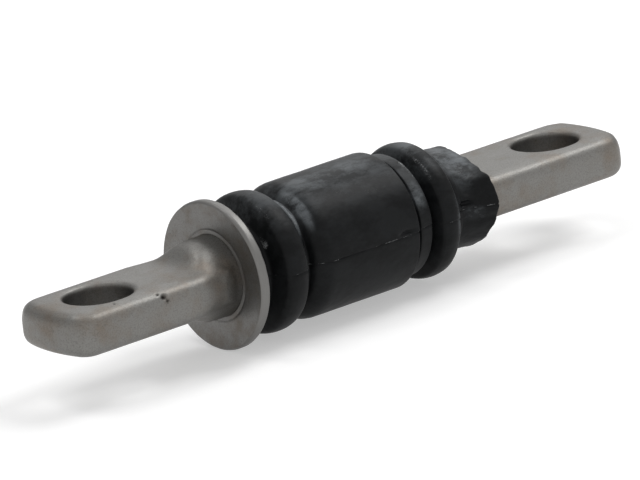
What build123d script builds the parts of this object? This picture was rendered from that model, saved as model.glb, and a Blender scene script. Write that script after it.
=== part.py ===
# A rubber and metal suspension bush: a forged shaft with a slotted paddle at each end, a pressed
# stop washer, and a rubber body moulded round the middle of the shaft.
# The shaft lies along X with the washer on the -X side, and its bolts pass through along Z.
# The origin is the middle of the shaft's length, on its axis. All sizes are in millimetres.

import os
from math import atan2, degrees, sqrt

from build123d import *

# Shaft, forged from round bar
shaft_length = 172.0
core_radius = 10.0
paddle_width = 26.0
paddle_thickness = 10.5
paddle_edge_radius = 3.1
tip_arc_radius = 38.0            # the tips are bowed in plan
tip_corner_radius = 5.5
neck_length = 6.5                # over which a paddle narrows to the round bar
neck_blend_radius = 8.0
neck_thinning = 1.0              # taken off each flat by the time the neck is inside the bar
ramp_length = 7.5                # run-out from the flat up to the round bar, hollow and then rounded
boss_length = 5.0                # full round bar left bare in front of the washer
paddle_grip = 2.6                # full width of the far paddle that the rubber closes on

# Bolt slots, one in each paddle
slot_width = 16.1
slot_travel = 1.6                # how far a bolt may shift along the slot
slot_setback = 16.5              # from the slot's middle to the paddle's tip
slot_bevel = 0.5

# Stop washer, pressed on to the round bar
washer_station = -35.8           # plane of the rim's outer face
washer_radius = 18.1
washer_thickness = 2.6
washer_dish = 1.0                # how far the hub sits towards the rubber
washer_hub_radius = 11.2         # flat seat round the bore
washer_bevel = 0.5
washer_fit = 0.02                # radial clearance of the bore on the bar

# Rubber body, in order along the shaft from the washer
rubber_neck_length = 4.8
rubber_neck_radius = 11.6
inner_lip_radius = 17.5
inner_lip_foot = 8.4             # width where the lip stands on the body
inner_lip_crown = 5.4            # width across its bevelled crown
wide_groove_width = 1.6
wide_groove_radius = 13.2
sleeve_radius = 16.8
sleeve_length = 31.4
sleeve_shoulder = 5.6            # length of the large bevelled round at the sleeve's washer end
sleeve_edge = 0.6                # bevel at the sleeve's other end
land_radius = 15.1
land_length = 5.6
narrow_groove_width = 1.4
narrow_groove_radius = 13.2
outer_lip_radius = 16.95
outer_lip_foot = 7.2
outer_lip_crown = 5.0
lip_flat = 2.0                   # level part of a crown
lip_bevel_drop = 1.1
collar_groove_width = 2.3
collar_groove_radius = 12.4
collar_radius = 13.0
collar_shoulder = 0.6
collar_taper = 8.8               # length over which the collar turns from round to oval
collar_side_wall = 3.8           # rubber beside the paddle at the open end
collar_face_wall = 6.2           # rubber on the paddle's flats at the open end
collar_bevel = 0.9

# Stations along the shaft that follow from the sizes above
hub_back = washer_station + washer_dish + washer_thickness
inner_lip_start = hub_back + rubber_neck_length
sleeve_start = inner_lip_start + inner_lip_foot + wide_groove_width
sleeve_end = sleeve_start + sleeve_length
land_end = sleeve_end + land_length
outer_lip_start = land_end + narrow_groove_width
collar_start = outer_lip_start + outer_lip_foot + collar_groove_width
collar_loft_start = collar_start + collar_shoulder
collar_end = collar_loft_start + collar_taper

# The bar stays round from in front of the washer to inside the collar, whose mouth is on the flat
paddle_half = paddle_thickness / 2
boss_left = washer_station - boss_length
boss_right = collar_end - ramp_length
shoulder_left = boss_left - neck_length
shoulder_right = collar_end - paddle_grip

tolerance = 0.01                 # for picking vertices by their place

os.makedirs("parts", exist_ok=True)


def write_piece(piece, label):
    piece.label = label
    export_step(piece, f"parts/{label}.step")


def make_paddle(side, shoulder, flat_end):
    # One paddle, from its bowed tip to its root inside the round bar. It is rounded along its edges,
    # trimmed to narrow into the bar, and thins out from where the ramp starts.
    tip = side * shaft_length / 2
    half_width = paddle_width / 2
    root_half_width = sqrt(core_radius**2 - paddle_half**2)
    tip_corner = tip - side * (tip_arc_radius - sqrt(tip_arc_radius**2 - half_width**2))
    neck_end = shoulder - side * neck_length
    root = neck_end - side * core_radius / 2
    with BuildPart() as paddle:
        with BuildSketch() as blank:
            with BuildLine():
                tip_arc = ThreePointArc((tip_corner, -half_width), (tip, 0), (tip_corner, half_width))
                Polyline(tip_arc @ 1, (root, half_width), (root, -half_width), tip_arc @ 0)
            make_face()
            tip_corners = blank.vertices().filter_by(lambda v: abs(v.X - tip_corner) < tolerance)
            fillet(tip_corners, radius=tip_corner_radius)
        extrude(amount=paddle_half, both=True)
        rims = paddle.edges().group_by(Axis.Z)
        long_rims = (rims[0] + rims[-1]).filter_by(lambda e: abs(e.center().X - root) > tolerance)
        fillet(long_rims, radius=paddle_edge_radius)
        with BuildSketch() as plan:
            with BuildLine():
                Polyline(
                    (tip, half_width),
                    (shoulder, half_width),
                    (neck_end, root_half_width),
                    (root, root_half_width),
                    (root, -root_half_width),
                    (neck_end, -root_half_width),
                    (shoulder, -half_width),
                    (tip, -half_width),
                    close=True,
                )
            make_face()
            shoulders = plan.vertices().filter_by(lambda v: abs(v.X - shoulder) < tolerance)
            fillet(shoulders, radius=neck_blend_radius)
        extrude(amount=paddle_half, both=True, mode=Mode.INTERSECT)
        with BuildSketch(Plane.XZ):
            with BuildLine():
                Polyline(
                    (tip, 0),
                    (tip, paddle_half),
                    (flat_end, paddle_half),
                    (root, paddle_half - neck_thinning),
                    (root, 0),
                    close=True,
                )
            make_face()
            mirror(about=Plane.XZ)
        extrude(amount=half_width, both=True, mode=Mode.INTERSECT)
    return paddle.part


flat_end_left = boss_left - ramp_length
flat_end_right = boss_right + ramp_length
paddles = [
    make_paddle(-1, shoulder_left, flat_end_left),
    make_paddle(1, shoulder_right, flat_end_right),
]

with BuildPart() as inner_shaft:
    # The round bar, pressed down to the paddle's thickness by an S-shaped ramp at each end
    bar_left = flat_end_left - paddle_grip
    bar_right = flat_end_right + paddle_grip
    with BuildSketch(Plane.YZ.offset(bar_left)):
        Circle(core_radius)
    extrude(amount=bar_right - bar_left)
    ramp_rise = core_radius - paddle_half
    ramp_radius = (ramp_length**2 + ramp_rise**2) / (4 * ramp_rise)
    ramp_turn = degrees(2 * atan2(ramp_rise, ramp_length))
    with BuildSketch(Plane.XZ):
        with BuildLine():
            flat_left = Line((bar_left, paddle_half), (flat_end_left, paddle_half))
            foot_left = JernArc(flat_left @ 1, (1, 0), ramp_radius, ramp_turn)
            crest_left = JernArc(foot_left @ 1, foot_left % 1, ramp_radius, -ramp_turn)
            foot_right = JernArc((flat_end_right, paddle_half), (-1, 0), ramp_radius, -ramp_turn)
            crest_right = JernArc(foot_right @ 1, foot_right % 1, ramp_radius, ramp_turn)
            Line(crest_left @ 1, crest_right @ 1)
            flat_right = Line(foot_right @ 0, (bar_right, paddle_half))
            Line(flat_right @ 1, (bar_right, 0))
            Line((bar_right, 0), (bar_left, 0))
            Line((bar_left, 0), flat_left @ 0)
        make_face()
        mirror(about=Plane.XZ)
    extrude(amount=core_radius, both=True, mode=Mode.INTERSECT)

    add(paddles)

    # The bolt slots, with their rims bevelled
    slot_place = shaft_length / 2 - slot_setback
    with BuildSketch():
        with Locations((-slot_place, 0), (slot_place, 0)):
            SlotCenterToCenter(slot_travel, slot_width)
    extrude(amount=paddle_thickness, both=True, mode=Mode.SUBTRACT)
    slot_rims = inner_shaft.edges(Select.LAST).group_by(Axis.Z)
    chamfer(slot_rims[0] + slot_rims[-1], length=slot_bevel)

write_piece(inner_shaft.part, "inner_shaft")


with BuildPart() as stop_washer:
    bore_radius = core_radius + washer_fit
    hub_front = washer_station + washer_dish
    with BuildSketch(Plane.XZ) as section:
        with BuildLine():
            Polyline(
                (hub_front, bore_radius),
                (hub_front, washer_hub_radius),
                (washer_station, washer_radius),
                (washer_station + washer_thickness, washer_radius),
                (hub_back, washer_hub_radius),
                (hub_back, bore_radius),
                close=True,
            )
        make_face()
        chamfer(section.vertices().group_by(Axis.Y)[-1], length=washer_bevel)
    revolve(axis=Axis.X)

write_piece(stop_washer.part, "stop_washer")


def lip_outline(start, foot, crown, crown_radius, feet_radii):
    # One sealing lip: a leaning face, a crown that is bevelled on both sides, and a second leaning face
    middle = start + foot / 2
    bevel_run = (crown - lip_flat) / 2
    Polyline(
        (start, feet_radii[0]),
        (middle - lip_flat / 2 - bevel_run, crown_radius - lip_bevel_drop),
        (middle - lip_flat / 2, crown_radius),
        (middle + lip_flat / 2, crown_radius),
        (middle + lip_flat / 2 + bevel_run, crown_radius - lip_bevel_drop),
        (start + foot, feet_radii[1]),
    )


with BuildPart() as rubber_bush:
    # The round part of the body, turned about the shaft's axis
    shoulder_drop = sleeve_radius - wide_groove_radius
    with BuildSketch(Plane.XZ):
        with BuildLine():
            Polyline((hub_back, 0), (hub_back, rubber_neck_radius), (inner_lip_start, rubber_neck_radius))
            inner_feet = (rubber_neck_radius, wide_groove_radius)
            lip_outline(inner_lip_start, inner_lip_foot, inner_lip_crown, inner_lip_radius, inner_feet)
            Polyline(
                (sleeve_start - wide_groove_width, wide_groove_radius),
                (sleeve_start, wide_groove_radius),
                (sleeve_start + sleeve_shoulder * 0.14, sleeve_radius - shoulder_drop * 0.52),
                (sleeve_start + sleeve_shoulder * 0.46, sleeve_radius - shoulder_drop * 0.14),
                (sleeve_start + sleeve_shoulder, sleeve_radius),
                (sleeve_end - sleeve_edge, sleeve_radius),
                (sleeve_end, sleeve_radius - sleeve_edge),
                (sleeve_end, land_radius),
                (land_end, land_radius),
                (land_end + narrow_groove_width / 2, narrow_groove_radius),
                (outer_lip_start, narrow_groove_radius),
            )
            outer_feet = (narrow_groove_radius, collar_groove_radius)
            lip_outline(outer_lip_start, outer_lip_foot, outer_lip_crown, outer_lip_radius, outer_feet)
            Polyline(
                (outer_lip_start + outer_lip_foot, collar_groove_radius),
                (collar_start, collar_groove_radius),
                (collar_loft_start, collar_radius),
                (collar_loft_start, 0),
                (hub_back, 0),
            )
        make_face()
    revolve(axis=Axis.X)

    # The collar turns from round to oval where it closes on the paddle
    with BuildSketch(Plane.YZ.offset(collar_loft_start)):
        Circle(collar_radius)
    with BuildSketch(Plane.YZ.offset(collar_end)):
        Ellipse(paddle_width / 2 + collar_side_wall, paddle_half + collar_face_wall)
    loft()
    open_end = rubber_bush.faces().sort_by(Axis.X)[-1]
    chamfer(open_end.edges(), length=collar_bevel)

    # The bore is the shaft itself
    add(inner_shaft.part, mode=Mode.SUBTRACT)

write_piece(rubber_bush.part, "rubber_bush")
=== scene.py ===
import math

import bmesh
import bpy
from mathutils import Matrix, Vector, noise


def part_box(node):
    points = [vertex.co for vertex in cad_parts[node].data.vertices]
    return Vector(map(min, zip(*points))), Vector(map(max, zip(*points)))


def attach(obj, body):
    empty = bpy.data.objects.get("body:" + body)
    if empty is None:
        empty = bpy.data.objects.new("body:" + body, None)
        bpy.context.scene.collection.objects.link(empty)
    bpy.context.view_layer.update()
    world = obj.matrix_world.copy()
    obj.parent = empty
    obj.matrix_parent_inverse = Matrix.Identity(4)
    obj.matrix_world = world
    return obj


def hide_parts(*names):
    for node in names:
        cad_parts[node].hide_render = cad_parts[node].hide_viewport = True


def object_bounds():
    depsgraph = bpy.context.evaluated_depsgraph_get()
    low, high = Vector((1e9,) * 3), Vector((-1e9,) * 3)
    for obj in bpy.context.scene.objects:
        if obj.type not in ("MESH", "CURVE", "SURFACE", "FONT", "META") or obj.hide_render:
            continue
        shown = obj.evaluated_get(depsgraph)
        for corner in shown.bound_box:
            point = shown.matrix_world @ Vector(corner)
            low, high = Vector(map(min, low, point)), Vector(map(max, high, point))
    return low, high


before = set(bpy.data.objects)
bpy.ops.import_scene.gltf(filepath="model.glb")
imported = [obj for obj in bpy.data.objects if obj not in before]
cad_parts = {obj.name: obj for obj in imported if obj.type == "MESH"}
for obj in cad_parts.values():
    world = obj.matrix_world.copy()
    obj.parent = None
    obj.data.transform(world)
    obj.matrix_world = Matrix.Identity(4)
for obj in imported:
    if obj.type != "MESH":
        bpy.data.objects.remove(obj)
cadBox = [list(corner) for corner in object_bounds()]
print("frame loaded")

mm = 0.001
weld = 0.002 * mm    # points nearer to each other than this become one


def linear(hexColour):
    # an sRGB hex colour as the linear one that shaders and lamps work in
    channels = [int(hexColour[i:i + 2], 16) / 255 for i in (1, 3, 5)]
    return [c / 12.92 if c <= 0.04045 else ((c + 0.055) / 1.055) ** 2.4 for c in channels] + [1.0]


def emptyTree(owner):
    # the node tree of a material or a world, without the nodes that it starts with
    owner.use_nodes = True
    owner.node_tree.nodes.clear()
    return owner.node_tree


def addNode(tree, kind, settings=None, links=None):
    # one shader node: settings go to its sockets or properties, links join its inputs to outputs
    node = tree.nodes.new(kind)
    for name, value in (settings or {}).items():
        if isinstance(name, int) or name in node.inputs:
            node.inputs[name].default_value = value
        else:
            setattr(node, name, value)
    for name, output in (links or {}).items():
        tree.links.new(output, node.inputs[name])
    return node


def patternScale(size):
    # the noise scale of a pattern that measures this many mm
    return 1 / (size * mm)


def smooth(low, high, value):
    # 0 below low, 1 above high, and a soft step between them
    t = min(max((value - low) / (high - low), 0), 1)
    return t * t * (3 - 2 * t)


def fadeOut(distance):
    # 1 in the middle of a mark and 0 from its edge on, which is at a distance of 1
    return 1 - smooth(0.3, 1.0, distance)


def soften(bm, verts, turns):
    # draws points towards their neighbours, so that edges get rounder with each turn
    for turn in range(turns):
        bmesh.ops.smooth_vert(bm, verts=verts, factor=0.5, use_axis_x=True, use_axis_y=True, use_axis_z=True)


def addObject(name, bm):
    # makes a bmesh an object of the scene
    mesh = bpy.data.meshes.new(name)
    bm.to_mesh(mesh)
    bm.free()
    added = bpy.data.objects.new(name, mesh)
    bpy.context.scene.collection.objects.link(added)
    return added


def makePiece(name, bm, material, nodeName):
    # closes a bmesh into an object that stands for one solid of the frame
    bmesh.ops.remove_doubles(bm, verts=bm.verts, dist=weld)
    bmesh.ops.recalc_face_normals(bm, faces=bm.faces)
    piece = addObject(name, bm)
    piece.data.shade_smooth()
    piece.data.materials.append(material)
    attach(piece, "root")
    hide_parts(nodeName)


def turnedBody(start, corners, longest, steps):
    # a profile of (station, radius, rounding) corners in mm along the shaft, turned round its axis
    bm = bmesh.new()
    chain = [bm.verts.new((start + x * mm, 0, radius * mm)) for x, radius, rounding in corners]
    for a, b in zip(chain, chain[1:]):
        bm.edges.new((a, b))
    for vert, (x, radius, rounding) in zip(chain, corners):
        if rounding:
            bmesh.ops.bevel(bm, geom=[vert], offset=rounding * mm, offset_type="OFFSET", segments=5,
                            profile=0.5, affect="VERTICES", material=-1)
    # the longest edges get the most cuts, so that all end up nearly even
    for cuts in (15, 7, 3, 1):
        long = [e for e in bm.edges if e.calc_length() > (cuts + 0.5) * longest * mm]
        bmesh.ops.subdivide_edges(bm, edges=long, cuts=cuts)
    bmesh.ops.spin(bm, geom=bm.verts[:] + bm.edges[:], cent=(0, 0, 0), axis=(1, 0, 0),
                   angle=2 * math.pi, steps=steps, use_merge=True)
    return bm


# Rubber body: black natural rubber, pressed hot in a two-part steel mould. The mould's plain walls leave
# a dense satin skin with a faint bloom; the halves leave a thin line along each side.
rubberLook = {
    "skin": "#0C0D0E",
    "bloomAndSheen": "#666A6D",            # the greyish film and dust that settle on the upper side, with a painted sheen and painted highlights there
    "chalkAndHighlight": "#8C8E8F",            # scuffed and torn rubber, mould dust, and painted highlights on some edges and on the tears' lower edges
    "roughness": 0.40,
    "roughSpread": (-0.05, 0.12),  # how far the patches take it down and up
    "specular": 0.11,
    "blotch": 6.0,                 # mm across a patch of bloom
    "blotchStretch": 0.55,         # below 1, patches are longer along the shaft
    "blotchRange": (0.43, 0.58),   # levels of the noise at which bloom starts and is full
    "blotchLeast": 0.15,           # what is left of it between the patches
    "scratch": 0.34,               # mm across a speck of scuffed rubber
    "scratchRange": (0.82, 1.12),  # levels of noise and wear together at which specks start and are full
    "grain": 0.35,                 # mm across the moulded grain, drawn coarse so that it shows
    "grainDepth": 0.02,
    "swell": 3.5,                  # mm across the skin's slight waviness
    "swellDepth": 0.25,
}


def makeRubber(look):
    material = bpy.data.materials.new("mouldedNaturalRubber")
    tree = emptyTree(material)
    place = addNode(tree, "ShaderNodeTexCoord").outputs["Object"]
    # bloom and a painted sheen in patches, as much of them as the piece's film attribute asks for
    along = addNode(tree, "ShaderNodeMapping", {"Scale": (look["blotchStretch"], 1.0, 1.0)},
                    {"Vector": place})
    blotch = addNode(tree, "ShaderNodeTexNoise",
                     {"Scale": patternScale(look["blotch"]), "Detail": 8.0, "Roughness": 0.72},
                     {"Vector": along.outputs["Vector"]})
    bloomStart, bloomFull = look["blotchRange"]
    blotchShare = addNode(tree, "ShaderNodeMapRange",
                          {"From Min": bloomStart, "From Max": bloomFull, "To Min": look["blotchLeast"]},
                          {"Value": blotch.outputs["Fac"]})
    filmAndSheen = addNode(tree, "ShaderNodeAttribute", {"attribute_name": "filmAndSheen"})
    filmAndSheenShare = addNode(tree, "ShaderNodeMath", {"operation": "MULTIPLY"},
                        {0: blotchShare.outputs["Result"], 1: filmAndSheen.outputs["Fac"]})
    skin = addNode(tree, "ShaderNodeMix",
                   {"data_type": "RGBA", 6: linear(look["skin"]), 7: linear(look["bloomAndSheen"])},
                   {0: filmAndSheenShare.outputs["Value"]})
    # scuffs and painted highlights: fine light specks where the piece's attribute for wear and painted
    # highlights asks for them
    specks = addNode(tree, "ShaderNodeTexNoise",
                     {"Scale": patternScale(look["scratch"]), "Detail": 4.0, "Roughness": 0.7},
                     {"Vector": place})
    wearAndHighlight = addNode(tree, "ShaderNodeAttribute", {"attribute_name": "wearAndHighlight"})
    asked = addNode(tree, "ShaderNodeMath", {"operation": "ADD"},
                    {0: specks.outputs["Fac"], 1: wearAndHighlight.outputs["Fac"]})
    speckStart, speckFull = look["scratchRange"]
    scuffedAndHighlit = addNode(tree, "ShaderNodeMapRange", {"From Min": speckStart, "From Max": speckFull},
                      {"Value": asked.outputs["Value"]})
    colour = addNode(tree, "ShaderNodeMix", {"data_type": "RGBA", 7: linear(look["chalkAndHighlight"])},
                     {0: scuffedAndHighlit.outputs["Result"], 6: skin.outputs[2]})
    # relief: the moulded grain over the skin's waviness
    grain = addNode(tree, "ShaderNodeTexNoise", {"Scale": patternScale(look["grain"]), "Detail": 2.0},
                    {"Vector": place})
    swell = addNode(tree, "ShaderNodeTexNoise", {"Scale": patternScale(look["swell"]), "Detail": 2.0},
                    {"Vector": place})
    fine = addNode(tree, "ShaderNodeBump", {"Strength": 0.25, "Distance": look["grainDepth"] * mm},
                   {"Height": grain.outputs["Fac"]})
    broad = addNode(tree, "ShaderNodeBump", {"Strength": 0.5, "Distance": look["swellDepth"] * mm},
                    {"Height": swell.outputs["Fac"], "Normal": fine.outputs["Normal"]})
    smoothest, roughest = (look["roughness"] + spread for spread in look["roughSpread"])
    rough = addNode(tree, "ShaderNodeMapRange", {"To Min": smoothest, "To Max": roughest},
                    {"Value": blotch.outputs["Fac"]})
    shader = addNode(tree, "ShaderNodeBsdfPrincipled", {"Specular IOR Level": look["specular"], "IOR": 1.5},
                     {"Base Color": colour.outputs[2], "Roughness": rough.outputs["Result"],
                      "Normal": broad.outputs["Normal"]})
    addNode(tree, "ShaderNodeOutputMaterial", links={"Surface": shader.outputs["BSDF"]})
    return material


# Steel: forged and tumbled for the shaft, cold pressed for the washer. Both carry a dull grey oxide with
# brownish heat tints; nothing on them is polished, so highlights are broad and soft.
steelLook = {
    "both": {
        "pitAndShade": "#1D1A18",              # forging scale, and painted shade on the slots' walls
        "roughness": 0.47,
        "roughSpread": (-0.08, 0.10),  # how far the patches take it down and up
        "tintRange": (0.47, 0.68),     # levels of the noise at which a heat tint starts and is full
        "gritRange": (0.46, 0.68),     # the same for the dark grit
        "gritShare": 0.5,              # how much of the shade colour it shows
        "dentDepth": 0.05,             # mm
    },
    # shade is the grit's colour and bare that of sheared or rubbed metal. The rest is in mm: across a patch
    # of tint, across a grain of grit, drawn coarse so that it shows, its depth, and across a dent
    "shaft": {"clean": "#7E7D7A", "tint": "#79726A", "shade": "#55524F", "bare": "#A09D99",
              "blotch": 9.0, "grit": 0.36, "gritDepth": 0.10, "dent": 1.8},
    "washer": {"clean": "#7B7A78", "tint": "#736E68", "shade": "#575451", "bare": "#767573",
               "blotch": 4.5, "grit": 0.35, "gritDepth": 0.03, "dent": 2.4},
}


def makeSteel(name, look):
    material = bpy.data.materials.new(name)
    tree = emptyTree(material)
    place = addNode(tree, "ShaderNodeTexCoord").outputs["Object"]
    # heat tints in patches, then the dark grit that tumbling or pressing leaves
    blotch = addNode(tree, "ShaderNodeTexNoise",
                     {"Scale": patternScale(look["blotch"]), "Detail": 6.0, "Roughness": 0.62},
                     {"Vector": place})
    tintStart, tintFull = look["tintRange"]
    tintShare = addNode(tree, "ShaderNodeMapRange", {"From Min": tintStart, "From Max": tintFull},
                        {"Value": blotch.outputs["Fac"]})
    tinted = addNode(tree, "ShaderNodeMix",
                     {"data_type": "RGBA", 6: linear(look["clean"]), 7: linear(look["tint"])},
                     {0: tintShare.outputs["Result"]})
    grit = addNode(tree, "ShaderNodeTexNoise",
                   {"Scale": patternScale(look["grit"]), "Detail": 3.0, "Roughness": 0.7},
                   {"Vector": place})
    gritStart, gritFull = look["gritRange"]
    gritShare = addNode(tree, "ShaderNodeMapRange",
                        {"From Min": gritStart, "From Max": gritFull, "To Max": look["gritShare"]},
                        {"Value": grit.outputs["Fac"]})
    gritty = addNode(tree, "ShaderNodeMix", {"data_type": "RGBA", 7: linear(look["shade"])},
                     {0: gritShare.outputs["Result"], 6: tinted.outputs[2]})
    # where the piece's own attributes say so, sheared or rubbed metal is brighter, and scale pits and the
    # painted shade on the slots' walls are black
    bare = addNode(tree, "ShaderNodeAttribute", {"attribute_name": "bare"})
    bright = addNode(tree, "ShaderNodeMix", {"data_type": "RGBA", 7: linear(look["bare"])},
                     {0: bare.outputs["Fac"], 6: gritty.outputs[2]})
    pitAndShade = addNode(tree, "ShaderNodeAttribute", {"attribute_name": "pitAndShade"})
    colour = addNode(tree, "ShaderNodeMix", {"data_type": "RGBA", 7: linear(look["pitAndShade"])},
                     {0: pitAndShade.outputs["Fac"], 6: bright.outputs[2]})
    # relief: the grit over the tumbling dents
    dent = addNode(tree, "ShaderNodeTexNoise", {"Scale": patternScale(look["dent"]), "Detail": 2.0},
                   {"Vector": place})
    fine = addNode(tree, "ShaderNodeBump", {"Strength": 0.5, "Distance": look["gritDepth"] * mm},
                   {"Height": grit.outputs["Fac"]})
    broad = addNode(tree, "ShaderNodeBump", {"Strength": 0.5, "Distance": look["dentDepth"] * mm},
                    {"Height": dent.outputs["Fac"], "Normal": fine.outputs["Normal"]})
    smoothest, roughest = (look["roughness"] + spread for spread in look["roughSpread"])
    rough = addNode(tree, "ShaderNodeMapRange", {"To Min": smoothest, "To Max": roughest},
                    {"Value": blotch.outputs["Fac"]})
    shader = addNode(tree, "ShaderNodeBsdfPrincipled", {"Metallic": 1.0},
                     {"Base Color": colour.outputs[2], "Roughness": rough.outputs["Result"],
                      "Normal": broad.outputs["Normal"]})
    addNode(tree, "ShaderNodeOutputMaterial", links={"Surface": shader.outputs["BSDF"]})
    return material


rubber = makeRubber(rubberLook)
forgedSteel = makeSteel("tumbledForgedSteel", {**steelLook["both"], **steelLook["shaft"]})
pressedSteel = makeSteel("coldPressedSteel", {**steelLook["both"], **steelLook["washer"]})
print("finishes made")


# The shaft: the forging's solid, skinned again so that its edges and ramps are as soft as a real forging's.
# Lengths are in mm, stations count from the shaft's own middle, and softening is in turns.
shaftShape = {
    "voxel": 0.42,                 # grid of the new skin
    "fill": (-50.0, -37.0),        # stations between which the left paddle's sides narrow into the bar
    "fillSides": (12.95, 10.25),   # their distance from the axis there
    "fillBow": 1.3,                # over 1, they stay wide for longer
    "fillBand": (4.0, 4.4),        # only what lies further out than this, and less high, is moved
    "rims": (49.0, 8.8, 1.2),      # the paddles' upper rims lie further along, out and up than this
    "rimSoftening": 40,
    "softening": 5,                # for every edge, but only once for the slots' rims
    "softeningGap": 0.9,           # how far from a slot the other turns start
    "shoulderSoftening": 90,       # where the paddle runs into the round bar
    "shoulderStage": 20,           # turns after which the softened stretch gets shorter
    "shoulder": (-52.0, -48.5, -41.5, -39.0),  # where it starts, is full, fades and ends
    "slots": (69.5, 8.05, 0.8),    # station of their middles, half width and half travel
    "slotDrag": 0.35,              # how far tumbling has dragged metal over their rims
    "slotDragGap": (-0.1, 0.8),    # distance off the wall at which the drag is full and ends
    "slotShade": 0.45,              # share of painted shade, in black, on their walls
    "shadeGap": (0.05, 0.2),        # distance off the wall at which it starts to fade and ends
    "shadeHeight": (3.6, 4.6),      # the same for the height over or under the middle
    "pits": [                      # place, radius and depth
        ((-45.1, 3.9, 5.5), 0.6, 0.25),
        ((-60.0, -12.3, 3.6), 1.0, 0.45),
        ((-59.3, -12.7, 2.6), 0.6, 0.25),
        ((-61.2, -11.6, 4.4), 0.6, 0.25),
        ((-72.5, -9.9, 5.2), 0.5, 0.2),
    ],
}


def skinAgain(nodeName, voxel):
    # an even voxel skin over a copy of one of the frame's solids
    bm = bmesh.new()
    bm.from_mesh(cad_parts[nodeName].data)
    bmesh.ops.remove_doubles(bm, verts=bm.verts, dist=weld)
    draft = addObject("draft", bm)
    skin = draft.modifiers.new("skin", "REMESH")
    skin.mode = "VOXEL"
    skin.voxel_size = voxel * mm
    skinned = bpy.data.meshes.new_from_object(draft.evaluated_get(bpy.context.evaluated_depsgraph_get()))
    bm = bmesh.new()
    bm.from_mesh(skinned)
    bpy.data.objects.remove(draft)
    return bm


def fillSides(bm, shape):
    # the paddle's sides run straight into the round bar, with no hollow behind their shoulders
    start, end = shape["fill"]
    wide, narrow = shape["fillSides"]
    leastOut, mostUp = shape["fillBand"]
    for vert in bm.verts:
        x, y, z = vert.co / mm
        if start < x < end and abs(z) < mostUp and abs(y) > leastOut:
            full = wide + (narrow - wide) * ((x - start) / (end - start)) ** shape["fillBow"]
            vert.co.y = math.copysign(max(abs(y), math.sqrt(full ** 2 - z ** 2)), y) * mm


def slotGap(place, slots):
    # how far a point stands off the wall of the nearer slot, in mm
    middle, half, travel = slots
    along = max(abs(abs(place.x / mm) - middle) - travel, 0)
    return math.hypot(along, place.y / mm) - half


def dragSlotRims(bm, shape):
    # tumbling has dragged metal from the faces into the slots
    middle = shape["slots"][0] * mm
    for vert in bm.verts:
        gap = slotGap(vert.co, shape["slots"])
        if gap < shape["slotDragGap"][1]:
            side = math.copysign(middle, vert.co.x)
            inward = Vector((side - vert.co.x, -vert.co.y, 0)).normalized()
            vert.co += inward * shape["slotDrag"] * mm * (1 - smooth(*shape["slotDragGap"], gap))


def softenEdges(bm, shape):
    # every edge gets a little, but the slots' rims keep theirs after the first turn
    awayFromSlots = [v for v in bm.verts if slotGap(v.co, shape["slots"]) > shape["softeningGap"]]
    soften(bm, bm.verts, 1)
    soften(bm, awayFromSlots, shape["softening"] - 1)
    # the shoulder's stretch gets shorter from stage to stage, so that its softening fades at both ends
    start, full, fading, end = (station * mm for station in shape["shoulder"])
    turns = shape["shoulderSoftening"]
    for done in range(0, turns, shape["shoulderStage"]):
        reach = done / turns
        low = start + (full - start) * reach
        high = end + (fading - end) * reach
        shoulder = [v for v in bm.verts if low < v.co.x < high]
        soften(bm, shoulder, min(shape["shoulderStage"], turns - done))


def pitSteel(bm, shape):
    # scale pits, and painted shade, in black, on the slots' walls away from the faces
    pitAndShade = bm.verts.layers.float.new("pitAndShade")
    bm.normal_update()
    for place, radius, depth in shape["pits"]:
        centre = Vector(place)
        for vert in bm.verts:
            near = fadeOut((vert.co / mm - centre).length / radius)
            if near:
                vert.co -= vert.normal * depth * near * mm
                vert[pitAndShade] = max(vert[pitAndShade], near)
    # painted shade on the slots' walls, fading out towards the faces
    for vert in bm.verts:
        onWall = 1 - smooth(*shape["shadeGap"], slotGap(vert.co, shape["slots"]))
        wallShade = shape["slotShade"] * onWall * (1 - smooth(*shape["shadeHeight"], abs(vert.co.z) / mm))
        vert[pitAndShade] = max(vert[pitAndShade], wallShade)


def makeShaft(shape, material):
    bm = skinAgain("inner_shaft", shape["voxel"])
    fillSides(bm, shape)
    # the paddles' upper rims are rounder than the rest
    along, out, up = (least * mm for least in shape["rims"])
    rims = [v for v in bm.verts if abs(v.co.x) > along and abs(v.co.y) > out and v.co.z > up]
    soften(bm, rims, shape["rimSoftening"])
    dragSlotRims(bm, shape)
    softenEdges(bm, shape)
    pitSteel(bm, shape)
    print("shaft faces", len(bm.faces))
    makePiece("forgedShaft", bm, material, "inner_shaft")


makeShaft(shaftShape, forgedSteel)
print("shaft made")


# The stop washer: a disc with a shallow dish, a flat hub round the bar and a sheared, slightly ragged rim
washerShape = {
    "steps": 180,
    "longest": 0.6,                # mm, of an edge in the turned profile
    "bore": 10.0,
    "hub": 11.4,
    "rimRadius": 18.1,
    "thickness": 2.6,
    "bend": 0.5,                   # the rim's far and lower sides lean away from the rubber by this much
    "bendRange": (2.0, 18.0),      # distance from the axis at which they start to lean and lean in full
    "bendBelow": 1.2,              # the lower side leans that much sooner
    "ragged": 0.10,                # mm that the sheared rim is uneven along the shaft
    "raggedInward": 0.0012,        # and across it, as a share of the radius
    "raggedSize": 2.2,             # mm across a ragged place
    "raggedZone": (1.4, 0.2),      # mm inside the rim where it starts and is full
    "flatFront": 0.2,              # mm of the rim's front that stay flat
    "sheared": (0.75, 0.35),       # mm inside the rim where bare metal starts and is full
    "shearedWander": 0.35,         # mm by which that border wanders in and out
    "rubbedWidth": 0.5,            # mm of face beside the bore that the bar has rubbed
    "rubbedBare": 0.3,             # share of bare metal there
}


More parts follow.
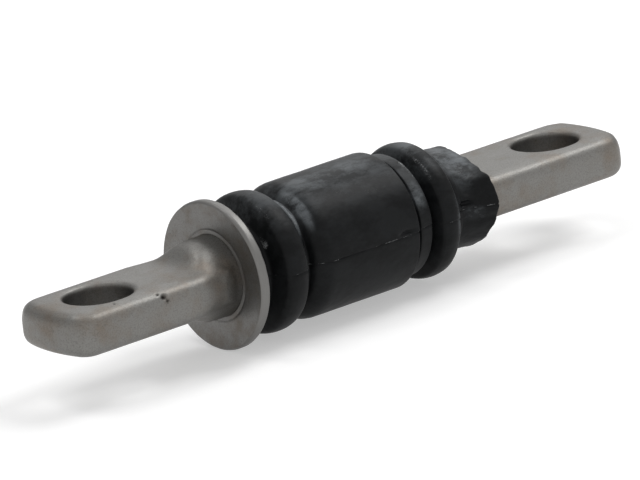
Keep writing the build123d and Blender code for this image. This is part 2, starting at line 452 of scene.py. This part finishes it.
def makeWasher(shape, material):
    low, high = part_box("stop_washer")
    depth = (high.x - low.x) / mm
    bore, hub, rim, thickness = (shape[k] for k in ("bore", "hub", "rimRadius", "thickness"))
    front = depth - thickness
    corners = [
        (front - 0.32, bore, 0),           # a bead that pushing it on has raised round the bore
        (front - 0.22, bore + 0.3, 0.12),
        (front - 0.05, hub - 0.5, 0.1),    # hub
        (front - 0.25, hub, 0.15),
        (0.12, rim - 1.2, 0.5),            # the face leans out to the rim
        (0.0, rim - 0.55, 0.3),
        (0.5, rim - 0.02, 0.35),           # sheared edge
        (2.25, rim - 0.04, 0.3),
        (thickness - 0.02, rim - 0.45, 0.2),
        (depth, hub, 0.4),                 # the dish's back
        (depth, bore, 0),
        (front - 0.32, bore, 0),
    ]
    bm = turnedBody(low.x, corners, shape["longest"], shape["steps"])
    bare = bm.verts.layers.float.new("bare")
    raggedStart, raggedFull = (rim - inside for inside in shape["raggedZone"])
    shearStart, shearFull = (rim - inside for inside in shape["sheared"])
    for vert in bm.verts:
        radius = math.hypot(vert.co.y, vert.co.z) / mm
        ragged = noise.noise(vert.co / (shape["raggedSize"] * mm))
        atRim = smooth(raggedStart, raggedFull, radius)
        vert[bare] = smooth(shearStart, shearFull, radius + shape["shearedWander"] * ragged)
        if radius < bore + shape["rubbedWidth"]:
            vert[bare] = shape["rubbedBare"]
        if vert.co.x - low.x > shape["flatFront"] * mm:
            vert.co.x += shape["ragged"] * mm * ragged * atRim
        side = max(vert.co.y, -shape["bendBelow"] * vert.co.z) / mm
        vert.co.x -= shape["bend"] * mm * smooth(*shape["bendRange"], side)
        inward = 1 - shape["raggedInward"] * abs(ragged) * atRim
        vert.co.y *= inward
        vert.co.z *= inward
    makePiece("stopWasher", bm, material, "stop_washer")


makeWasher(washerShape, pressedSteel)
print("stop washer made")


# The rubber body: lengths in mm, stations from the end at the washer, and degrees from the top to the front
rubberShape = {
    "steps": 260,
    "longest": 0.55,               # of an edge in the turned profile
    "bore": 9.95,
    "corners": [                   # station, radius and rounding
        (0.0, 9.95, 0),
        (0.0, 11.5, 0),
        (4.4, 11.6, 0.7),          # neck
        (6.1, 16.7, 0.9),          # first lip
        (9.1, 17.5, 1.8),
        (12.1, 16.7, 0.9),
        (13.4, 13.2, 0.5),
        (14.9, 13.0, 0.4),
        (16.6, 16.8, 3.4),         # sleeve
        (46.3, 16.85, 0.25),
        (46.45, 14.5, 0.2),        # a furrow where the mould's sleeve met its end ring
        (47.9, 14.5, 0.2),
        (48.15, 15.25, 0.2),
        (51.7, 15.08, 0.35),       # land
        (52.5, 12.7, 0.3),
        (53.4, 12.7, 0.3),
        (54.7, 16.1, 0.6),         # second lip
        (57.0, 16.85, 1.2),
        (59.5, 16.4, 0.6),
        (60.4, 12.7, 0.5),
        (61.4, 12.4, 0.3),
        (61.6, 12.8, 0.25),        # collar
        (63.2, 12.8, 0.4),
        (63.6, 12.5, 0.3),
        (72.05, 12.7, 0.5),
        (72.05, 9.95, 0),
        (60.0, 9.95, 0),
        (0.0, 9.95, 0),
    ],
    "collarRadius": 12.7,
    "collarDraw": (63.6, 72.0),    # the collar's skin is drawn out beside the paddle between these stations
    "drawBow": 1.3,                # over 1, most of it near the end
    "holeDraw": (60.6, 70.0),      # the same for its hole, which takes the paddle's section
    "skinShare": 0.6,              # share of the wall, outside which it moves with the skin
    "mouth": [                     # degrees and radius round the collar's end
        (-180, 13.0), (-125, 13.6), (-104, 14.8), (-90, 16.7), (-76, 15.5), (-62, 14.0), (-45, 12.7),
        (-20, 12.0), (0, 11.3), (18, 11.0), (38, 11.7), (54, 13.2), (66, 15.2), (76, 15.6), (86, 16.6),
        (91, 16.7), (104, 15.4), (125, 14.3), (150, 13.4), (180, 13.0),
    ],
    "paddle": (12.9, 5.15, 6.0),   # half width, half height and squareness of the hole, inside the paddle
    "unevenness": 0.05,
    "collarRange": (62.5, 66.0),   # the collar gets coarser between these stations
    "collarLumps": 0.14,
    "collarHollow": 0.25,          # by how much hollows prevail over lumps
    "collarGrain": 0.06,
    "tornRim": 0.3,
    "tornRange": (69.0, 71.8),     # stations between which the rim's tears get deeper
    "sag": 0.45,                   # the second lip hangs by this much
    "sagRange": (52.5, 55.0, 60.0, 63.0),  # where it starts to, does in full, fades and ends
    "swellings": [                 # station, degrees, half length, half width and height
        (13.9, 34, 1.7, 10.0, 2.0),
    ],
    "scuffsAndHighlights": [                    # the same, with strength: scuffs, and painted highlights along some edges
        (13.6, 38, 1.0, 5.5, 0.42),
        (6.4, 30, 0.8, 6.0, 0.24),
        (4.7, 55, 0.5, 3.4, 0.33),
        (51.2, 30, 0.9, 8.0, 0.36),
        (54.9, 36, 0.9, 7.0, 0.30),
        (59.7, 108, 0.5, 5.5, 0.38),
        (29.5, 36, 4.5, 4.0, 0.18),
        (37.0, 44, 5.0, 1.6, 0.18),
        (66.0, 40, 4.5, 8.0, 0.16),
    ],
    "filmsAndHighlights": [                     # the same, where the skin is stretched or rubbed grey, and where it is painted grey as a highlight, such as on the sleeve's shoulder
        (16.9, 36, 1.4, 8.0, 1.2),
        (13.5, 36, 1.5, 8.0, 0.8),
        (30.0, 14, 20.0, 6.0, 0.30),
        (49.6, 60, 2.6, 5.0, 0.8),
        (67.0, 30, 6.0, 11.0, 1.0),
        (57.0, 15, 3.0, 9.0, 0.35),
        (59.3, 100, 0.8, 12.0, 0.5),
        (66.5, 97, 3.5, 2.6, 0.8),
    ],
    "tears": [                     # the same, with depth
        (42.4, 87.6, 3.0, 0.75, 0.90),
        (64.6, 84.0, 2.6, 0.9, 1.00),
        (66.0, 70.0, 2.4, 2.4, 0.60),
    ],
    "tearEdgeGlint": (2.9, 0.4, 0.5),   # degrees to a tear's scuffed lower edge, which also carries a painted glint, its half width and strength
    "flash": (-0.18, 0.12),        # the parting line, from its deepest nick to its highest stub of flash
    "flashWidth": 0.4,
    "furrow": 0.35,                # depth of the furrow under the parting line
    "halfShift": 0.07,             # the mould's halves don't quite meet
    "shiftRange": (1.0, 70.0),     # stations between which that shows, so that the ends stay flat
    "wearAndHighlight": {"skin": 0.05, "collar": 0.07, "flash": 0.5, "rim": 0.06},  # where no mark asks for it
    "dust": (0.05, 0.30),          # film everywhere, and how much more on what faces up, as dust and a painted sheen
    "dustAndSheenFacing": (0.55, 0.98),    # from this upward share of the skin's direction to this
    "sizes": {"wave": 5.0, "lump": 3.8, "grain": 0.9, "speck": 1.4, "flash": 1.8, "furrow": 2.6,
              "tear": 2.6, "tearGrain": 0.8},  # across each kind of unevenness
    # levels of the noise at which each of them starts and is full
    "levels": {"flash": (-0.1, 0.4), "furrow": (-0.5, 0.2), "tear": (-0.4, 0.7)},
}


def holeRadius(angle, halfWidth, halfHeight, power):
    # radius of a rounded rectangle in a direction, from the upright
    across = abs(math.sin(angle)) / halfWidth
    up = abs(math.cos(angle)) / halfHeight
    return (across ** power + up ** power) ** (-1 / power)


def mouthRadius(degrees, mouth):
    # radius of the collar's end in a direction, read between the listed ones
    for (a, radiusA), (b, radiusB) in zip(mouth, mouth[1:]):
        if a <= degrees <= b:
            return radiusA + (radiusB - radiusA) * smooth(a, b, degrees)


def shapeCollar(bm, low, shape):
    # towards its end the collar's skin is drawn out and the hole takes the paddle's section
    drawStart, drawEnd = shape["collarDraw"]
    for vert in bm.verts:
        station = (vert.co.x - low) / mm
        if station < shape["holeDraw"][0]:
            continue
        radius = math.hypot(vert.co.y, vert.co.z) / mm
        angle = math.atan2(-vert.co.y, vert.co.z)
        hole = holeRadius(angle, *shape["paddle"])
        skin = mouthRadius(math.degrees(angle), shape["mouth"])
        share = (radius - shape["bore"]) / (shape["collarRadius"] - shape["bore"])
        target = hole + (skin - hole) * share
        if share > shape["skinShare"]:
            turn = min(max((station - drawStart) / (drawEnd - drawStart), 0), 1) ** shape["drawBow"]
        else:
            turn = smooth(*shape["holeDraw"], station)
        factor = (radius + (target - radius) * turn) / radius
        vert.co.y *= factor
        vert.co.z *= factor


def marksAt(marks, station, angle, radius):
    # what the marks of one kind add up to at a point of the skin
    total = 0
    for markStation, markAngle, halfLength, halfWidth, strength in marks:
        along = (station - markStation) / halfLength
        across = math.radians(angle - markAngle) * radius / halfWidth
        total += strength * fadeOut(math.hypot(along, across))
    return total


def weatherRubber(bm, low, shape):
    # lumps, the mould's parting lines, scuffs, tears and painted highlights. The material reads how much
    # scuffed rubber and painted highlight shows from one attribute, and how grey the skin is, with dust and a
    # painted sheen, from the other
    wearAndHighlight = bm.verts.layers.float.new("wearAndHighlight")
    filmAndSheen = bm.verts.layers.float.new("filmAndSheen")
    sizes, levels, wears = shape["sizes"], shape["levels"], shape["wearAndHighlight"]
    nick, stub = shape["flash"]
    sagStart, sagFull, sagFading, sagEnd = shape["sagRange"]
    edgeTurn, edgeWidth, edgeStrength = shape["tearEdgeGlint"]
    tearEdgeGlints = [(tear[0], tear[1] + edgeTurn, tear[2], edgeWidth, edgeStrength) for tear in shape["tears"]]
    shiftStart, shiftEnd = shape["shiftRange"]
    dust, dustAndSheenOnTop = shape["dust"]
    for vert in bm.verts:
        station = (vert.co.x - low) / mm
        place = vert.co / mm
        radius = math.hypot(place.y, place.z)
        if radius < shape["bore"] + 0.3:    # the bore and its edges stay as they are
            continue
        angle = math.degrees(math.atan2(-place.y, place.z))
        outward = Vector((0, place.y, place.z)).normalized()
        # the skin's own unevenness, coarser on the collar
        height = shape["unevenness"] * noise.noise(place / sizes["wave"])
        onCollar = smooth(*shape["collarRange"], station)
        lump = noise.noise(place / sizes["lump"]) - shape["collarHollow"]
        height += onCollar * shape["collarLumps"] * lump
        height += onCollar * shape["collarGrain"] * noise.noise(place / sizes["grain"])
        height += marksAt(shape["swellings"], station, angle, radius)
        # scuffs and painted highlights, patchy by another part of the same noise
        spread = 0.5 + 0.5 * noise.noise(place / sizes["speck"] + Vector((7, 3, 1)))
        wornAndHighlit = wears["skin"] * spread + wears["collar"] * onCollar
        wornAndHighlit += marksAt(shape["scuffsAndHighlights"], station, angle, radius) * (0.5 + spread)
        # flash stands on the parting line, and a furrow runs along the cut below it
        beside = place.z / shape["flashWidth"]    # 0 on the line and half on the cuts at its sides
        if abs(beside) < 0.3:
            flash = smooth(*levels["flash"], noise.noise(place / sizes["flash"]))
            height += nick + (stub - nick) * flash
            wornAndHighlit += wears["flash"] * flash
        elif -0.7 < beside < 0:
            height -= shape["furrow"] * smooth(*levels["furrow"], noise.noise(place / sizes["furrow"]))
        # a tear is painted dark inside, as shade, by taking its scuffs away, and its lower edge is scuffed,
        # with a painted glint
        depth = marksAt(shape["tears"], station, angle, radius)
        height -= depth
        wornAndHighlit += marksAt(tearEdgeGlints, station, angle, radius) * (0.2 + spread) - depth
        vert.co += outward * height * mm
        if shiftStart < station < shiftEnd:
            vert.co.x += math.copysign(shape["halfShift"], place.z - 0.05) * mm
        sagging = smooth(sagStart, sagFull, station) * (1 - smooth(sagFading, sagEnd, station))
        vert.co.z -= shape["sag"] * mm * sagging
        # the collar's rim is torn the same all through its depth, so the noise gets a fixed station
        ragged = noise.noise(Vector((3, place.y, place.z)) / sizes["tear"])
        ragged += 0.4 * noise.noise(Vector((9, place.y, place.z)) / sizes["tearGrain"])
        torn = smooth(*shape["tornRange"], station) * smooth(*levels["tear"], ragged)
        vert.co.x -= shape["tornRim"] * torn * mm
        vert[wearAndHighlight] = wornAndHighlit + wears["rim"] * torn
        # film: dust everywhere, more dust and a painted sheen on what faces up, and marks of rubbed grey and
        # painted highlights
        greyAndSheen = dust + dustAndSheenOnTop * smooth(*shape["dustAndSheenFacing"], outward.z)
        greyAndSheen += marksAt(shape["filmsAndHighlights"], station, angle, radius)
        vert[filmAndSheen] = min(greyAndSheen, 1)


def makeBush(shape, material):
    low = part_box("rubber_bush")[0]
    bm = turnedBody(low.x, shape["corners"], shape["longest"], shape["steps"])
    bmesh.ops.remove_doubles(bm, verts=bm.verts, dist=weld)
    # a cut on each side of the parting line, for its flash and furrow
    for side in (-1, 1):
        bmesh.ops.bisect_plane(bm, geom=bm.verts[:] + bm.edges[:] + bm.faces[:], dist=weld / 2,
                               plane_co=(0, 0, side * shape["flashWidth"] / 2 * mm), plane_no=(0, 0, 1))
    shapeCollar(bm, low.x, shape)
    weatherRubber(bm, low.x, shape)
    print("rubber faces", len(bm.faces))
    makePiece("rubberBody", bm, material, "rubber_bush")


makeBush(rubberShape, rubber)
print("rubber body made")


# Stage: a white floor just under the washer's rim, which keeps the part's shadow. Lengths are in metres
stageLook = {
    "floor": "#D9D9D9",
    "floorGlow": 0.40,
    "floorRadius": 2.5,
    "floorGap": 0.00005,           # how far the floor is below the part
    "sky": 0.5,                    # how brightly the room lights dull surfaces
    "roomFront": 1.1,              # how bright the room looks in a reflection, before the part and behind it
    "roomBack": 0.58,
    "roomAxis": (0.35, 0.70, 0.62),  # the way to the dimmer half, behind and above the part
    "roomRange": (-0.7, 0.5),      # how far along it the front half ends and the back half starts
    "key": {"place": (0.60, -0.15, 0.85), "size": 0.5, "power": 4.8},
    "back": {"place": (0.60, 0.62, 0.65), "size": 0.6, "power": 1.5},
    "overhead": {"place": (-0.17, 0.3, 1.0), "size": 0.35, "power": 2.0},
}
white = linear("#FFFFFF")


def makeFloor(look):
    bm = bmesh.new()
    bmesh.ops.create_circle(bm, cap_ends=True, segments=64, radius=look["floorRadius"])
    bmesh.ops.translate(bm, verts=bm.verts, vec=(0, 0, cadBox[0][2] - look["floorGap"]))
    floor = addObject("floor", bm)
    material = bpy.data.materials.new("paintedFloor")
    tree = emptyTree(material)
    # matt paint that takes the shadow, lifted to white for the camera, glass and reflections
    paint = addNode(tree, "ShaderNodeBsdfDiffuse", {"Color": linear(look["floor"])})
    glow = addNode(tree, "ShaderNodeEmission", {"Color": white, "Strength": look["floorGlow"]})
    both = addNode(tree, "ShaderNodeAddShader", links={0: paint.outputs["BSDF"], 1: glow.outputs["Emission"]})
    path = addNode(tree, "ShaderNodeLightPath")
    seen = addNode(tree, "ShaderNodeMath", {"operation": "MAXIMUM"},
                   {0: path.outputs["Is Camera Ray"], 1: path.outputs["Is Transmission Ray"]})
    caught = addNode(tree, "ShaderNodeMath", {"operation": "MAXIMUM"},
                     {0: seen.outputs["Value"], 1: path.outputs["Is Glossy Ray"]})
    shown = addNode(tree, "ShaderNodeMixShader",
                    links={0: caught.outputs["Value"], 1: paint.outputs["BSDF"], 2: both.outputs["Shader"]})
    addNode(tree, "ShaderNodeOutputMaterial", links={"Surface": shown.outputs["Shader"]})
    floor.data.materials.append(material)


def makeSky(look):
    world = bpy.data.worlds.new("studio")
    bpy.context.scene.world = world
    tree = emptyTree(world)
    path = addNode(tree, "ShaderNodeLightPath")
    seen = addNode(tree, "ShaderNodeMath", {"operation": "MAXIMUM"},
                   {0: path.outputs["Is Camera Ray"], 1: path.outputs["Is Transmission Ray"]})
    # reflections see a bright room in front of the part and a dimmer one behind and above it
    direction = addNode(tree, "ShaderNodeTexCoord").outputs["Generated"]
    behind = addNode(tree, "ShaderNodeVectorMath", {"operation": "DOT_PRODUCT", 1: look["roomAxis"]},
                     {0: direction})
    frontEnd, backStart = look["roomRange"]
    brightness = addNode(tree, "ShaderNodeMapRange",
                         {"From Min": frontEnd, "From Max": backStart,
                          "To Min": look["roomFront"], "To Max": look["roomBack"]},
                         {"Value": behind.outputs["Value"]})
    dull = addNode(tree, "ShaderNodeBackground", {"Color": white, "Strength": look["sky"]})
    mirrored = addNode(tree, "ShaderNodeBackground", {"Color": white},
                       {"Strength": brightness.outputs["Result"]})
    plain = addNode(tree, "ShaderNodeBackground", {"Color": white, "Strength": 1.0})
    room = addNode(tree, "ShaderNodeMixShader",
                   links={0: path.outputs["Is Glossy Ray"], 1: dull.outputs["Background"],
                          2: mirrored.outputs["Background"]})
    shown = addNode(tree, "ShaderNodeMixShader",
                    links={0: seen.outputs["Value"], 1: room.outputs["Shader"],
                           2: plain.outputs["Background"]})
    addNode(tree, "ShaderNodeOutputWorld", links={"Surface": shown.outputs["Shader"]})


def makeLamp(name, lamp):
    # a square lamp that points at the part
    data = bpy.data.lights.new(name, "AREA")
    data.shape = "SQUARE"
    data.size = lamp["size"]
    data.energy = lamp["power"]
    place = Vector(lamp["place"])
    turn = (-place).to_track_quat("-Z", "Y").to_matrix().to_4x4()
    lampObject = bpy.data.objects.new(name, data)
    lampObject.matrix_world = Matrix.Translation(place) @ turn
    bpy.context.scene.collection.objects.link(lampObject)


makeFloor(stageLook)
makeSky(stageLook)
for lampName in ("key", "back", "overhead"):
    makeLamp(lampName, stageLook[lampName])
print("stage made")


# Camera: a long lens, looking down at the bush from the washer's side and slightly tilted
cameraPlace = {
    "azimuth": 38.36,
    "elevation": 16.42,
    "roll": -6.33,
    "distance": 1631.0,            # mm
    "lens": 387.8,                 # mm
    "sensor": 36.0,                # mm
    "target": (-0.75, 0, 0),       # mm, shown a little right of and above the middle
    "offset": (6.59, 2.97),        # px that it is off the middle
    "pictureWidth": 640,           # px
}


def makeCamera(place):
    azimuth, elevation, roll = (math.radians(place[k]) for k in ("azimuth", "elevation", "roll"))
    back = Vector((-math.cos(elevation) * math.sin(azimuth),
                   -math.cos(elevation) * math.cos(azimuth),
                   math.sin(elevation)))
    level = Vector((math.cos(azimuth), -math.sin(azimuth), 0))
    upright = back.cross(level)
    right = level * math.cos(roll) + upright * math.sin(roll)
    up = upright * math.cos(roll) - level * math.sin(roll)
    perPixel = place["distance"] * place["sensor"] / (place["lens"] * place["pictureWidth"])
    spot = Vector(place["target"]) + back * place["distance"]
    spot -= (right * place["offset"][0] + up * place["offset"][1]) * perPixel
    data = bpy.data.cameras.new("camera")
    data.lens = place["lens"]
    data.sensor_width = place["sensor"]
    data.clip_start = 0.05
    data.clip_end = 20
    camera = bpy.data.objects.new("camera", data)
    camera.matrix_world = Matrix.Translation(spot * mm) @ Matrix((right, up, back)).transposed().to_4x4()
    bpy.context.scene.collection.objects.link(camera)
    bpy.context.scene.camera = camera


makeCamera(cameraPlace)
bpy.context.scene.view_settings.view_transform = "Standard"
print("camera made")
